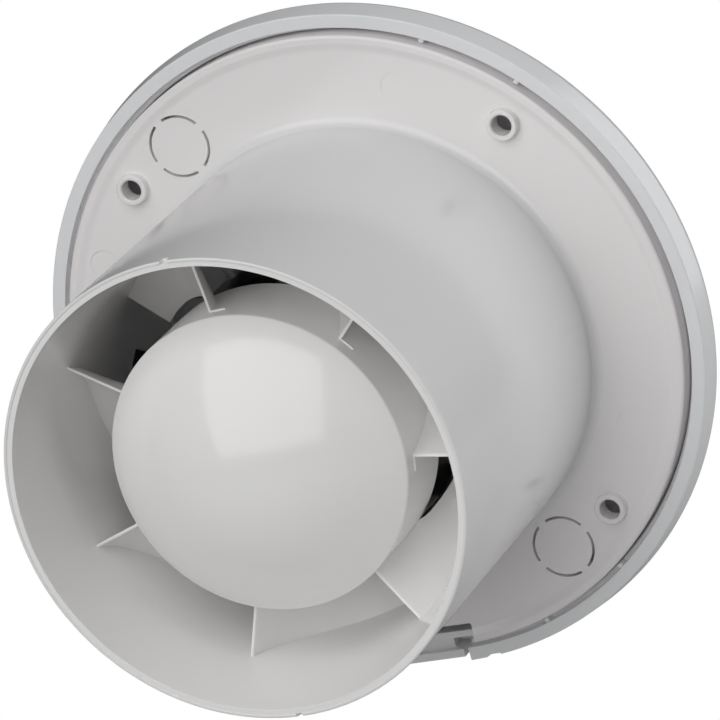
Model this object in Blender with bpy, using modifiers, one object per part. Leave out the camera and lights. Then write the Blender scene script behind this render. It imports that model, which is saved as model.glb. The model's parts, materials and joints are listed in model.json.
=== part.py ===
"""Bathroom extractor fan for a 100 mm duct, as an assembly of separate pieces.

World frame: the wall's face is the plane y = 0, the duct spigot runs along +Y into the wall, the
round cover faces the room along -Y, and +Z is up. The fan's axis is the Y axis.

Turned pieces are drawn about their own Z axis and hang from one empty that lays that axis along
world +Y. All sizes below are millimetres, and are written to the meshes in metres.
"""

import math

import bmesh
import bpy
from mathutils import Matrix, Vector

MM = 0.001

# ---- driving dimensions, mm --------------------------------------------------------------------
SPIGOT_R = 49.5            # outer radius of the duct spigot
SPIGOT_WALL = 1.4
SPIGOT_END = 80.0          # free end of the spigot, behind the wall plane
PLATE_FACE = -1.8          # wall side of the base plate
PLATE_FRONT = -4.0         # room side of the base plate
PLATE_R = 68.8             # outside of the base plate's rim
PLATE_RIM_FRONT = -8.6
LIP_FACE = -1.2            # narrow raised lip round the plate
BOSS_R = 3.4               # screw bosses, which touch the wall
HOLE_R = 2.25
HOLE_CIRCLE_R = 61.1
HOLE_ANGLES = (45.0, 135.0, 225.0, 315.0)
KNOCKOUT_CIRCLE_R = 58.7
KNOCKOUT_ANGLES = (59.3, 239.3)
KNOCKOUT_R = 6.65          # middle of the ring of slots
SLOT_W = 0.6
RECESS = (-4.2, 16.1, -70.5, -64.6)    # latch recess: x from, x to, z from, z to
NOTCH_W = 1.6              # key notches at the top and bottom of the spigot's end

DUCT_R = 45.0              # inside of the inner duct round the impeller
DUCT_WALL = 1.3
DUCT_MOUTH_R = 47.3        # inside of the inner duct at the outlet
VANES = 7
VANE_FIRST = 85.3          # angle of the first vane's outlet edge, from +X towards +Z
VANE_OUTLET = 61.2
VANE_DEPTH = 27.4          # depth of the vanes, outlet edge to inlet edge
VANE_ROOT = ((0.0, 31.2), (14.2, 31.2), (16.0, 32.7), (21.9, 33.8), (25.1, 34.3), (27.4, 34.8))
                           # depth and inner radius: in the hub's wall, then free of the impeller
VANE_T = 1.2
HUB_R = 32.0
HUB_WALL = 1.6
HUB_NEAR = 65.0            # outlet end of the hub shell
HUB_FAR = 46.2             # inlet end of the hub shell
WEB = (61.6, 63.4)         # web that carries the motor
DOME_RISE = 13.8

BUSH_CIRCLE_R = 20.0
BUSH_ANGLES = (90.0, 210.0, 330.0)
CORE_R = 24.0
BRACKET_R = 25.6
BEARING_R = 6.7
SHAFT_R = 2.0

BLADES = 5
BLADE_FIRST = 81.0         # angle of the middle of the first blade's root
BLADE_TIP_R = 44.1
IMPELLER_HUB_R = 31.4
IMPELLER_BACK = 45.0
IMPELLER_FRONT = 22.0

COVER_R = 74.2
COVER_REAR = -2.4
COVER_INNER_R = 70.5
COVER_LIP_R = 56.4
COVER_RIB_ANGLES = (-5.3, 13.0, 115.2, 133.1, 234.4, 252.6)
DISC_R = 66.0
DISC_REAR = -22.4
DISC_FACE = -25.0
POST_CIRCLE_R = 60.5
POST_ANGLES = (0.0, 180.0, 270.0)
POST_R = 2.0

BLOCK = (-11.0, 11.0, 56.0, 65.0)      # terminal block: x from, x to, z from, z to
BLOCK_DEPTH = 7.4
CLAMP_ANGLE = 70.0

GAP = 0.3                  # clearance between pieces that touch
FINE = 48                  # steps round the large turned pieces
SMALL = 24


# ---- small tools -------------------------------------------------------------------------------
def srgb(code):
    """A linear colour from an sRGB hex code."""
    parts = [int(code[i:i + 2], 16) / 255.0 for i in (0, 2, 4)]
    return [c / 12.92 if c <= 0.04045 else ((c + 0.055) / 1.055) ** 2.4 for c in parts] + [1.0]


def material(name, code, roughness, metallic=0.0):
    """A plain Principled material."""
    mat = bpy.data.materials.new(name)
    mat.use_nodes = True
    shader = mat.node_tree.nodes["Principled BSDF"]
    shader.inputs["Base Color"].default_value = srgb(code)
    shader.inputs["Roughness"].default_value = roughness
    shader.inputs["Metallic"].default_value = metallic
    mat.diffuse_color = srgb(code)
    return mat


def on_axis(radius, angle, along):
    """Local point of a turned piece: radius, world angle from +X towards +Z, place along +Y."""
    a = math.radians(angle)
    return Vector((radius * math.cos(a), -radius * math.sin(a), along)) * MM


def boxed(x0, x1, z0, z1, y0, y1):
    """Local corners (low, high) of a block given in world axes."""
    return Vector((x0, -z1, y0)) * MM, Vector((x1, -z0, y1)) * MM


def add_object(name, mesh, collection, parent=None):
    obj = bpy.data.objects.new(name, mesh)
    collection.objects.link(obj)
    obj.parent = parent
    return obj


def mesh_from(name, build):
    """A mesh filled by build(bm)."""
    mesh = bpy.data.meshes.new(name)
    bm = bmesh.new()
    build(bm)
    bm.to_mesh(mesh)
    bm.free()
    return mesh


def add_block(bm, low, high, turn=None):
    """A box between two corners, turned about the local Z axis through the origin."""
    size = high - low
    place = Matrix.Translation((low + high) / 2.0) @ Matrix.Diagonal((*size, 1.0))
    if turn is not None:
        place = Matrix.Rotation(math.radians(turn), 4, "Z") @ place
    bmesh.ops.create_cube(bm, size=1.0, matrix=place)


def add_rod(bm, centre, radius, y0, y1, steps=24, radius_end=None):
    """A rod along the fan's axis, at a local (x, y) centre, from y0 to y1."""
    end = radius if radius_end is None else radius_end
    place = Matrix.Translation(Vector((centre.x, centre.y, (y0 + y1) / 2.0 * MM)))
    bmesh.ops.create_cone(bm, cap_ends=True, segments=steps, radius1=radius * MM,
                          radius2=end * MM, depth=(y1 - y0) * MM, matrix=place)


class Fan:
    """The collections, the axis empty and the pieces made so far."""

    def __init__(self):
        for obj in list(bpy.data.objects):
            bpy.data.objects.remove(obj, do_unlink=True)
        scene = bpy.context.scene.collection
        self.pieces = bpy.data.collections.new("extractor_fan")
        self.cutters = bpy.data.collections.new("cutters")
        for collection in (self.pieces, self.cutters):
            scene.children.link(collection)
        self.cutters.hide_render = True
        self.axis = add_object("fan_axis", None, self.pieces)
        self.axis.rotation_euler = (-math.pi / 2.0, 0.0, 0.0)

    def turned(self, name, profile, mat=None, steps=FINE, cutter=False, spindle=None):
        """A solid turned from a (radius, along) profile, listed down its outer side."""
        closed = all(r > 0.0 for r, _ in (profile[0], profile[-1]))
        mesh = bpy.data.meshes.new(name)
        points = [(r * MM, 0.0, h * MM) for r, h in profile]
        edges = [(i, i + 1) for i in range(len(points) - 1)]
        if closed:
            edges.append((len(points) - 1, 0))
        mesh.from_pydata(points, edges, [])
        obj = self.place(name, mesh, mat, cutter, spindle)
        screw = obj.modifiers.new("turn", "SCREW")
        screw.steps = screw.render_steps = steps
        screw.use_merge_vertices = True
        screw.merge_threshold = 0.00001
        screw.use_smooth_shade = True
        return obj

    def solid(self, name, build, mat=None, cutter=False, spindle=None):
        """A piece whose faces are made by build(bm)."""
        return self.place(name, mesh_from(name, build), mat, cutter, spindle)

    def place(self, name, mesh, mat, cutter, spindle):
        obj = add_object(name, mesh, self.cutters if cutter else self.pieces,
                         spindle or self.axis)
        if cutter:
            obj.hide_render = True
            obj.display_type = "WIRE"
        elif mat is not None:
            mesh.materials.append(mat)
        return obj

    @staticmethod
    def combine(obj, other, operation):
        mod = obj.modifiers.new(operation.lower() + "_" + other.name, "BOOLEAN")
        mod.operation = operation
        mod.solver = "EXACT"
        mod.object = other

    def cut(self, obj, name, build):
        self.combine(obj, self.solid(name, build, cutter=True), "DIFFERENCE")

    def weld(self, obj, name, build):
        self.combine(obj, self.solid(name, build, cutter=True), "UNION")


# ---- pieces ------------------------------------------------------------------------------------
def arc_slot(bm, centre, radius, width, start, sweep, y0, y1, steps=5):
    """A curved slot cutter about a local centre."""
    rings = []
    for i in range(steps + 1):
        a = math.radians(start + sweep * i / steps)
        ring = []
        for r, y in ((radius - width / 2, y0), (radius + width / 2, y0),
                     (radius + width / 2, y1), (radius - width / 2, y1)):
            ring.append(bm.verts.new((centre.x + r * MM * math.cos(a),
                                      centre.y + r * MM * math.sin(a), y * MM)))
        rings.append(ring)
    for first, second in zip(rings, rings[1:]):
        for k in range(4):
            n = (k + 1) % 4
            bm.faces.new((first[k], second[k], second[n], first[n]))
    bm.faces.new(rings[0])
    bm.faces.new(list(reversed(rings[-1])))
    bmesh.ops.recalc_face_normals(bm, faces=bm.faces[:])


def base_plate(fan, mat):
    """Base plate, rim, screw bosses and the duct spigot, one moulding."""
    inner = SPIGOT_R - SPIGOT_WALL
    base = fan.turned("base_plate_spigot", (
        (SPIGOT_R - 0.35, SPIGOT_END), (SPIGOT_R, SPIGOT_END - 0.4), (SPIGOT_R, 0.4),
        (SPIGOT_R + 0.35, -0.7), (SPIGOT_R + 1.0, -1.45), (SPIGOT_R + 2.2, PLATE_FACE),
        (PLATE_R - 2.4, PLATE_FACE), (PLATE_R - 2.2, LIP_FACE), (PLATE_R - 0.3, LIP_FACE),
        (PLATE_R, LIP_FACE - 0.3), (PLATE_R, PLATE_RIM_FRONT),
        (PLATE_R - 1.5, PLATE_RIM_FRONT), (PLATE_R - 1.5, PLATE_FRONT),
        (inner, PLATE_FRONT), (inner, SPIGOT_END - 0.3), (inner + 0.3, SPIGOT_END)), mat)

    def bosses(bm):
        for angle in HOLE_ANGLES:
            add_rod(bm, on_axis(HOLE_CIRCLE_R, angle, 0), BOSS_R, -3.0, 0.0, 24)

    def holes(bm):
        for angle in HOLE_ANGLES:
            add_rod(bm, on_axis(HOLE_CIRCLE_R, angle, 0), HOLE_R, -6.0, 2.0, 20)

    def slots(bm):
        for angle in KNOCKOUT_ANGLES:
            centre = on_axis(KNOCKOUT_CIRCLE_R, angle, 0)
            for quarter in range(4):
                arc_slot(bm, centre, KNOCKOUT_R, SLOT_W, 90 * quarter + 8 - angle, 74,
                         PLATE_FRONT - 1, PLATE_FACE + 1)

    def openings(bm):
        add_block(bm, *boxed(*RECESS, PLATE_RIM_FRONT - 1, 2.0))
        for side in (-1, 1):
            notch = boxed(-NOTCH_W / 2, NOTCH_W / 2, side * 49.0 - 2.0, side * 49.0 + 2.0,
                          SPIGOT_END - 1.4, SPIGOT_END + 1.0)
            add_block(bm, *notch)

    fan.weld(base, "boss_rods", bosses)
    fan.cut(base, "boss_holes", holes)
    fan.cut(base, "knockout_slots", slots)
    fan.cut(base, "base_openings", openings)
    return base


def vane_sweep(depth):
    """Degrees a guide vane has turned at a depth in front of its outlet edge, mm."""
    return 0.5 * depth + 0.0014 * depth ** 3


def vane_root(depth):
    """Inner radius of a guide vane at a depth in front of its outlet edge, mm."""
    for (d0, r0), (d1, r1) in zip(VANE_ROOT, VANE_ROOT[1:]):
        if depth <= d1:
            return r0 + (r1 - r0) * (depth - d0) / (d1 - d0)
    return VANE_ROOT[-1][1]


def guide_vane_set(bm):
    """Seven curved vanes, rooted in the hub shell's wall and then free round the impeller."""
    across, depths = 1, (0.0, 5.0, 10.0, 14.2, 16.0, 19.0, 21.9, 25.1, 27.4)
    along, r1 = len(depths) - 1, DUCT_R + 0.6
    for k in range(VANES):
        outlet = VANE_FIRST + 360.0 * k / VANES
        sides = []
        for side in (-0.5, 0.5):
            grid = []
            for depth in depths:
                row = []
                for j in range(across + 1):
                    r0 = vane_root(depth)
                    r = r0 + (r1 - r0) * j / across
                    slope = (0.5 + 0.0042 * depth ** 2) * math.pi / 180.0 * r
                    thick = VANE_T * math.hypot(1.0, slope)
                    shift = math.degrees(side * thick / r)
                    angle = outlet - vane_sweep(depth) + shift
                    row.append(bm.verts.new(on_axis(r, angle, VANE_OUTLET - depth)))
                grid.append(row)
            sides.append(grid)
        low, high = sides
        for i in range(along):
            for j in range(across):
                bm.faces.new((low[i][j], low[i][j + 1], low[i + 1][j + 1], low[i + 1][j]))
                bm.faces.new((high[i][j], high[i + 1][j], high[i + 1][j + 1], high[i][j + 1]))
        rim = [(i, 0) for i in range(along)] + [(along, j) for j in range(across)]
        rim += [(along - i, across) for i in range(along)] + [(0, across - j) for j in range(across)]
        for (a, b), (c, d) in zip(rim, rim[1:] + rim[:1]):
            bm.faces.new((low[a][b], low[c][d], high[c][d], high[a][b]))
    bmesh.ops.recalc_face_normals(bm, faces=bm.faces[:])


def guide_vane_duct(fan, mat):
    """Inner duct with bell mouth, hub shell, motor web and the vanes between them."""
    outer = DUCT_R + DUCT_WALL
    duct = fan.turned("guide_vane_duct", (
        (DUCT_MOUTH_R + 0.2, SPIGOT_END - 0.2), (DUCT_MOUTH_R + 0.65, SPIGOT_END - 0.3),
        (DUCT_MOUTH_R + 0.65, SPIGOT_END - 2.0), (outer, 56.0), (outer, -2.6),
        (outer + 1.0, PLATE_FRONT - GAP), (54.5, PLATE_FRONT - GAP),
        (54.5, PLATE_FRONT - GAP - 1.6), (51.5, PLATE_FRONT - GAP - 1.6), (48.0, -5.0),
        (45.8, -2.6), (DUCT_R, 1.5), (DUCT_R, 56.0), (DUCT_MOUTH_R, SPIGOT_END - 1.0)), mat)
    shell = HUB_R - HUB_WALL
    hub = fan.turned("hub_shell", (
        (HUB_R, HUB_NEAR), (HUB_R, HUB_FAR + 0.4), (HUB_R - 0.4, HUB_FAR), (shell, HUB_FAR),
        (shell, WEB[0]), (9.0, WEB[0]), (9.0, WEB[1]), (shell, WEB[1]), (shell, HUB_NEAR)),
        steps=FINE, cutter=True)
    vanes = fan.solid("vane_blades", guide_vane_set, cutter=True)
    fan.combine(hub, vanes, "UNION")
    fan.combine(duct, hub, "UNION")

    def bush_holes(bm):
        for angle in BUSH_ANGLES:
            add_rod(bm, on_axis(BUSH_CIRCLE_R, angle, 0), 3.2, WEB[0] - 1, WEB[1] + 1, 20)

    fan.cut(duct, "bush_holes", bush_holes)
    return duct


def dome_profile(base_r, rise, start, steps):
    """Points of a spherical cap from its top down to its edge."""
    ball = (base_r ** 2 + rise ** 2) / (2 * rise)
    edge = math.asin(base_r / ball)
    top = start + rise
    return [(ball * math.sin(edge * i / steps), top - ball * (1 - math.cos(edge * i / steps)))
            for i in range(steps + 1)]


def motor_dome_cap(fan, mat):
    """Domed cap with a short skirt that plugs into the hub shell."""
    seat = HUB_NEAR + 0.15
    outer = dome_profile(HUB_R, DOME_RISE, seat, 6)
    inner = dome_profile(28.4, DOME_RISE - 3.0, seat + 0.6, 3)
    skirt = HUB_R - HUB_WALL - GAP
    profile = outer + [(HUB_R, seat), (skirt, seat), (skirt, WEB[1] + 0.4),
                       (28.4, WEB[1] + 0.4)] + list(reversed(inner))
    profile[6] = (HUB_R - 0.25, seat + 0.3)
    return fan.turned("motor_dome_cap", profile, mat, steps=40)


def motor(fan, mats):
    """Motor parts on the fan's axis, from the outlet side to the inlet side."""
    steel, copper, iron, bright, rubber, zinc = mats
    fan.turned("motor_bracket_rear", (
        (8.2, 64.4), (8.2, 60.5), (BRACKET_R - 1, 60.5), (BRACKET_R, 59.8), (BRACKET_R, 52.3),
        (BRACKET_R - 1.2, 52.3), (BRACKET_R - 1.2, 59.3), (4.0, 59.3), (4.0, 60.3), (7.0, 60.3),
        (7.0, 64.4)), zinc, SMALL)
    rear = bpy.data.objects["motor_bracket_rear"]

    def screw_holes(bm):
        for angle in BUSH_ANGLES:
            add_rod(bm, on_axis(BUSH_CIRCLE_R, angle, 0), 1.6, 58.0, 62.0, 12)

    fan.cut(rear, "bracket_holes", screw_holes)
    fan.turned("motor_bracket_front", (
        (BRACKET_R, 49.9), (BRACKET_R, 42.6), (BRACKET_R - 1, 41.9), (8.2, 41.9), (8.2, 38.4),
        (7.0, 38.4), (7.0, 42.1), (4.0, 42.1), (4.0, 43.1), (BRACKET_R - 1.2, 43.1),
        (BRACKET_R - 1.2, 49.9)), zinc, SMALL)
    fan.turned("motor_stator_core", ((CORE_R, 56.0), (CORE_R, 46.2), (15.0, 46.2), (15.0, 56.0)),
               steel, SMALL)
    for name, low in (("motor_winding_rear", 56.3), ("motor_winding_front", 43.5)):
        fan.turned(name, ((21.6, low + 2.4), (22.5, low + 1.6), (22.5, low + 0.7),
                          (21.6, low), (16.6, low), (15.8, low + 0.7), (15.8, low + 1.6),
                          (16.6, low + 2.4)), copper, SMALL)
    for name, low in (("motor_bearing_rear", 60.6), ("motor_bearing_front", 38.8)):
        fan.turned(name, ((BEARING_R - 0.3, low + 3.0), (BEARING_R, low + 2.7),
                          (BEARING_R, low + 0.3), (BEARING_R - 0.3, low), (SHAFT_R + 0.1, low),
                          (SHAFT_R + 0.1, low + 3.0)), bright, 24)
    for i, angle in enumerate(BUSH_ANGLES, 1):
        centre = on_axis(BUSH_CIRCLE_R, angle, 0)

        def bush(bm, centre=centre):
            add_rod(bm, centre, 4.2, 60.65, WEB[0] - 0.1, 20)

        piece = fan.solid(f"motor_bush_{i}", bush, rubber)
        fan.weld(piece, f"bush_neck_{i}",
                 lambda bm, c=centre: add_rod(bm, c, 2.95, 61.0, 63.9, 20))
        fan.cut(piece, f"bush_bore_{i}", lambda bm, c=centre: add_rod(bm, c, 1.7, 58.0, 66.0, 16))

        def screw(bm, centre=centre):
            add_rod(bm, centre, 1.35, 59.0, 64.6, 16)

        piece = fan.solid(f"motor_screw_{i}", screw, bright)
        fan.weld(piece, f"screw_head_{i}",
                 lambda bm, c=centre: add_rod(bm, c, 2.8, 64.1, 66.1, 16, 2.2))


def spinning_parts(fan, mats):
    """Shaft, rotor, impeller and its nut, all hung from the spindle."""
    bright, steel, dark, brass = mats
    spindle = add_object("spindle", None, fan.pieces, fan.axis)
    fan.turned("motor_shaft", ((0.0, 64.2), (1.7, 64.2), (SHAFT_R, 63.9), (SHAFT_R, 19.0),
                               (1.7, 18.6), (0.0, 18.6)), bright, 24, spindle=spindle)
    fan.turned("motor_rotor", ((13.6, 55.8), (14.4, 55.2), (14.4, 47.0), (13.6, 46.4),
                               (SHAFT_R + 0.1, 46.4), (SHAFT_R + 0.1, 55.8)),
               steel, SMALL, spindle=spindle)
    hub_r, wall = IMPELLER_HUB_R, 1.6
    impeller = fan.turned("impeller", (
        (hub_r, IMPELLER_BACK), (hub_r, IMPELLER_FRONT + 2), (hub_r - 0.8, IMPELLER_FRONT + 0.6),
        (hub_r - 2.6, IMPELLER_FRONT), (7.0, IMPELLER_FRONT - 1.2), (7.0, IMPELLER_FRONT + 1.0),
        (SHAFT_R + 0.1, IMPELLER_FRONT + 1.0), (SHAFT_R + 0.1, 37.0), (5.6, 37.0),
        (6.4, IMPELLER_FRONT + 3.0), (hub_r - 5.0, IMPELLER_FRONT + 2.4),
        (hub_r - wall - 0.6, IMPELLER_FRONT + 5), (hub_r - wall, IMPELLER_BACK)),
        dark, 36, spindle=spindle)

    def blades(bm):
        across, along = 2, 4
        r0, r1 = hub_r - 0.8, BLADE_TIP_R
        for k in range(BLADES):
            sides = []
            for side in (-0.5, 0.5):
                grid = []
                for i in range(along + 1):
                    row = []
                    for j in range(across + 1):
                        s = j / across
                        r = r0 + (r1 - r0) * s
                        u = i / along
                        span = 23.0 - s
                        angle = BLADE_FIRST + 360.0 * k / BLADES + span * (u - 0.5)
                        along_y = 32.2 - 0.4 * s - (7.6 + 2.0 * s) * u
                        thick = 1.5 - 0.4 * s
                        row.append(bm.verts.new(on_axis(r, angle, along_y + side * thick)))
                    grid.append(row)
                sides.append(grid)
            low, high = sides
            for i in range(along):
                for j in range(across):
                    bm.faces.new((low[i][j], low[i][j + 1], low[i + 1][j + 1], low[i + 1][j]))
                    bm.faces.new((high[i][j], high[i + 1][j], high[i + 1][j + 1],
                                  high[i][j + 1]))
            rim = [(i, 0) for i in range(along)] + [(along, j) for j in range(across)]
            rim += [(along - i, across) for i in range(along)]
            rim += [(0, across - j) for j in range(across)]
            for (a, b), (c, d) in zip(rim, rim[1:] + rim[:1]):
                bm.faces.new((low[a][b], low[c][d], high[c][d], high[a][b]))
        bmesh.ops.recalc_face_normals(bm, faces=bm.faces[:])

    blade_set = fan.solid("blade_set", blades, cutter=True, spindle=spindle)
    fan.combine(impeller, blade_set, "UNION")
    fan.turned("impeller_lock_nut", (
        (4.4, IMPELLER_FRONT + 0.7), (4.8, IMPELLER_FRONT + 0.3), (4.8, 19.6), (4.4, 19.2),
        (SHAFT_R + 0.1, 19.2), (SHAFT_R + 0.1, IMPELLER_FRONT + 0.7)), brass, 24,
        spindle=spindle)


def finger_guard(fan, mat):
    """Ring and spokes in the bell mouth."""
    rear = PLATE_FRONT - GAP - 1.6 - 0.3
    guard = fan.turned("finger_guard", ((54.0, rear), (54.0, rear - 1.4), (53.4, rear - 2.0),
                                        (52.0, rear - 2.0), (52.0, rear)), mat)
    ring = [fan.turned(f"guard_ring_{i}", ((r + 0.8, rear - 0.2), (r + 0.8, rear - 1.8),
                                          (r - 0.8, rear - 1.8), (r - 0.8, rear - 0.2)),
                       steps=32, cutter=True) for i, r in enumerate((18.0, 35.0))]
    for piece in ring:
        fan.combine(guard, piece, "UNION")

    for k in range(4):
        low, high = boxed(-52.6, 52.6, -0.8, 0.8, rear - 1.9, rear - 0.3)
        fan.weld(guard, f"guard_bar_{k}", lambda bm, a=low, b=high, t=45.0 * k + 12.0:
                 add_block(bm, a, b, t))
    return guard


def front_cover(fan, mat):
    """Round cover ring: rear rim, side band and the convex face up to the intake."""
    r = COVER_R
    ring = fan.turned("cover_ring", (
        (r - 0.9, COVER_REAR), (r - 0.6, COVER_REAR - 0.2), (r, COVER_REAR - 5.0),
        (r - 0.25, -9.4), (r - 1.6, -11.3), (r - 4.8, -13.6), (r - 11.0, -16.2),
        (COVER_LIP_R + 0.6, -17.9), (COVER_LIP_R, -17.4), (COVER_LIP_R, -15.9),
        (r - 11.2, -14.5), (r - 5.6, -11.6), (COVER_INNER_R, -9.3),
        (COVER_INNER_R, COVER_REAR)), mat)
    for i, angle in enumerate(COVER_RIB_ANGLES):
        low, high = boxed(69.1, 71.4, -0.6, 0.6, -7.4, COVER_REAR - 0.5)
        fan.weld(ring, f"cover_rib_{i}", lambda bm, a=low, b=high, t=-angle:
                 add_block(bm, a, b, t))

    def sockets(bm):
        for angle in POST_ANGLES:
            add_rod(bm, on_axis(POST_CIRCLE_R, angle, 0), POST_R + 1.4, -16.0, -11.6, 18)

    def socket_bores(bm):
        for angle in POST_ANGLES:
            add_rod(bm, on_axis(POST_CIRCLE_R, angle, 0), POST_R + 0.3, -20.0, -10.0, 18)

    def tab_gap(bm):
        add_block(bm, *boxed(-1.6, 14.1, -76.0, -68.8, -9.2, 0.0))
        add_block(bm, *boxed(-8.6, -6.0, -76.0, -72.3, -4.4, 0.0))

    fan.weld(ring, "post_sockets", sockets)
    fan.cut(ring, "socket_bores", socket_bores)
    fan.cut(ring, "tab_gap", tab_gap)
    return ring


def front_disc(fan, mat):
    """Plain front disc with three posts."""
    face = dome_profile(DISC_R, 2.6, -DISC_FACE, 5)
    profile = [(DISC_R - 1.0, DISC_REAR), (DISC_R, DISC_REAR - 0.8), (DISC_R, DISC_FACE)]
    profile = [(0.0, DISC_REAR)] + profile + [(r, -h) for r, h in reversed(face[:-1])]
    disc = fan.turned("front_disc", profile, mat)

    def posts(bm):
        for angle in POST_ANGLES:
            add_rod(bm, on_axis(POST_CIRCLE_R, angle, 0), POST_R, DISC_REAR - 1.0, -12.0, 20)

    def collars(bm):
        for angle in POST_ANGLES:
            add_rod(bm, on_axis(POST_CIRCLE_R, angle, 0), POST_R + 1.6, DISC_REAR - 0.9, -18.3, 20)

    fan.weld(disc, "disc_posts", posts)
    fan.weld(disc, "disc_collars", collars)
    return disc


def cover_latch(fan, mat):
    """Release tab at the bottom: a press pad in the cover's rim and a tongue behind it."""
    latch = fan.solid("cover_latch",
                      lambda bm: add_block(bm, *boxed(-2.9, 14.9, -68.6, -67.0, -7.8, -4.2)), mat)
    fan.weld(latch, "latch_arm",
             lambda bm: add_block(bm, *boxed(2.0, 10.5, -71.6, -68.2, -7.2, -4.4)))
    fan.weld(latch, "latch_pad",
             lambda bm: add_block(bm, *boxed(-0.5, 13.0, -73.0, -70.9, -8.4, -2.5)))
    return latch


def wiring_point(fan, mats):
    """Terminal block, cable clamp and their screws on the room side of the plate."""
    grey, brass, white = mats
    top = PLATE_FRONT - 0.1
    block = fan.solid("terminal_block",
                      lambda bm: add_block(bm, *boxed(*BLOCK, top - BLOCK_DEPTH, top)), grey)

    def wells(bm):
        for x in (-7.0, 0.0, 7.0):
            add_rod(bm, Vector((x, -60.5, 0)) * MM, 2.2, top - BLOCK_DEPTH - 1, top - 2.6, 16)
            add_block(bm, *boxed(x - 1.5, x + 1.5, 64.0, 66.0, top - 5.0, top - 2.0))

    fan.cut(block, "terminal_wells", wells)
    for i, x in enumerate((-7.0, 0.0, 7.0), 1):
        screw = fan.solid(f"terminal_screw_{i}", lambda bm, x=x: add_rod(
            bm, Vector((x, -60.5, 0)) * MM, 1.9, top - 6.4, top - 2.7, 16), brass)
        fan.cut(screw, f"terminal_slot_{i}", lambda bm, x=x: add_block(
            bm, *boxed(x - 2.5, x + 2.5, 60.2, 60.8, top - 7.5, top - 5.8)))

    clamp_turn = -CLAMP_ANGLE
    clamp = fan.solid("cable_clamp", lambda bm: add_block(
        bm, *boxed(55.2, 66.4, -2.4, 2.4, top - 4.6, top), clamp_turn), white)

    def clamp_space(bm):
        add_block(bm, *boxed(58.3, 63.3, -4.0, 4.0, top - 3.0, top + 1.0), clamp_turn)
        for r in (56.8, 64.8):
            add_rod(bm, on_axis(r, CLAMP_ANGLE, 0), 1.25, top - 6.0, top + 1.0, 14)

    fan.cut(clamp, "clamp_space", clamp_space)
    for i, r in enumerate((56.8, 64.8), 1):
        centre = on_axis(r, CLAMP_ANGLE, 0)
        screw = fan.solid(f"clamp_screw_{i}", lambda bm, c=centre: add_rod(
            bm, c, 1.0, top - 5.2, top - 0.3, 14), brass)
        fan.weld(screw, f"clamp_head_{i}", lambda bm, c=centre: add_rod(
            bm, c, 1.5, top - 6.3, top - 4.9, 14, 1.6))


def main():
    """Builds every piece."""
    fan = Fan()
    white = material("abs_white", "dedcdb", 0.38)
    vane_white = material("abs_white_duct", "dad9d8", 0.35)
    cover_white = material("abs_white_cover", "e4e3e2", 0.30)
    latch_white = material("abs_white_latch", "d6d5d4", 0.40)
    black = material("impeller_black", "1d1c1c", 0.28)
    zinc = material("zinc_plate", "a9abad", 0.38, 1.0)
    steel = material("lamination_steel", "6d6f72", 0.45, 1.0)
    bright = material("bright_steel", "c4c6c8", 0.22, 1.0)
    copper = material("enamelled_copper", "a4552c", 0.35, 1.0)
    rubber = material("rubber_black", "232323", 0.75)
    brass = material("brass", "b99a4f", 0.30, 1.0)
    grey = material("terminal_grey", "c9c9c4", 0.50)
    base_plate(fan, white)
    guide_vane_duct(fan, vane_white)
    motor_dome_cap(fan, vane_white)
    motor(fan, (steel, copper, steel, bright, rubber, zinc))
    spinning_parts(fan, (bright, steel, black, brass))
    finger_guard(fan, vane_white)
    front_cover(fan, cover_white)
    front_disc(fan, cover_white)
    cover_latch(fan, latch_white)
    wiring_point(fan, (grey, brass, white))


main()
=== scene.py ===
"""Looks of a bathroom extractor fan for a 100 mm duct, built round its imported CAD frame.

The wall's face is the plane y = 0. The duct spigot runs along +Y into the wall, the round cover
faces the room along -Y, and +Z is up. The fan's axis is the Y axis. Angles round it are degrees
from +X towards +Z. Sizes are millimetres unless a name says otherwise.
"""

import json
import logging
import math
from dataclasses import dataclass
from enum import Enum
from typing import Any, Callable, Mapping, Optional, Sequence

import bmesh
import bpy
from mathutils import Matrix, Vector


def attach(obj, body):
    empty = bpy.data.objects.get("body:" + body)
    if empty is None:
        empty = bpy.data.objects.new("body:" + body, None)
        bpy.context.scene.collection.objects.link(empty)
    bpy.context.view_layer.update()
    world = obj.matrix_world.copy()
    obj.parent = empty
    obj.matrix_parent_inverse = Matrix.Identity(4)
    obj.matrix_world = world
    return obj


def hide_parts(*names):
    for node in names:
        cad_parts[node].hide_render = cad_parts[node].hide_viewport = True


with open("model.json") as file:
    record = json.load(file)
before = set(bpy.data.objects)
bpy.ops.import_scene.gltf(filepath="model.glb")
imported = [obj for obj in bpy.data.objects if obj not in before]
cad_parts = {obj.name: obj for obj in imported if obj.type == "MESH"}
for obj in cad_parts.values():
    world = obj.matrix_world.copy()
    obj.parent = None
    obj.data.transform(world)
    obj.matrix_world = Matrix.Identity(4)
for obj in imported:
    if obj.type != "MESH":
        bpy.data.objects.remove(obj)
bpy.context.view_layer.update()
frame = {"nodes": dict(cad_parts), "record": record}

LOG = logging.getLogger("extractor_fan")
MM = 0.001
FINE_STEPS = 256           # steps round the large turned pieces
SMALL_STEPS = 40           # steps round bosses, holes, posts and screws
Corner = tuple[float, float, float]
Point = tuple[float, float]
Point3 = tuple[float, float, float]


class Body(Enum):
    """The bodies of the frame that pieces ride on."""

    HOUSING = "housing"
    ROTOR = "rotor_group"
    COVER = "cover"
    FRONT = "front_panel"
    LATCH = "latch"


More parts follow.
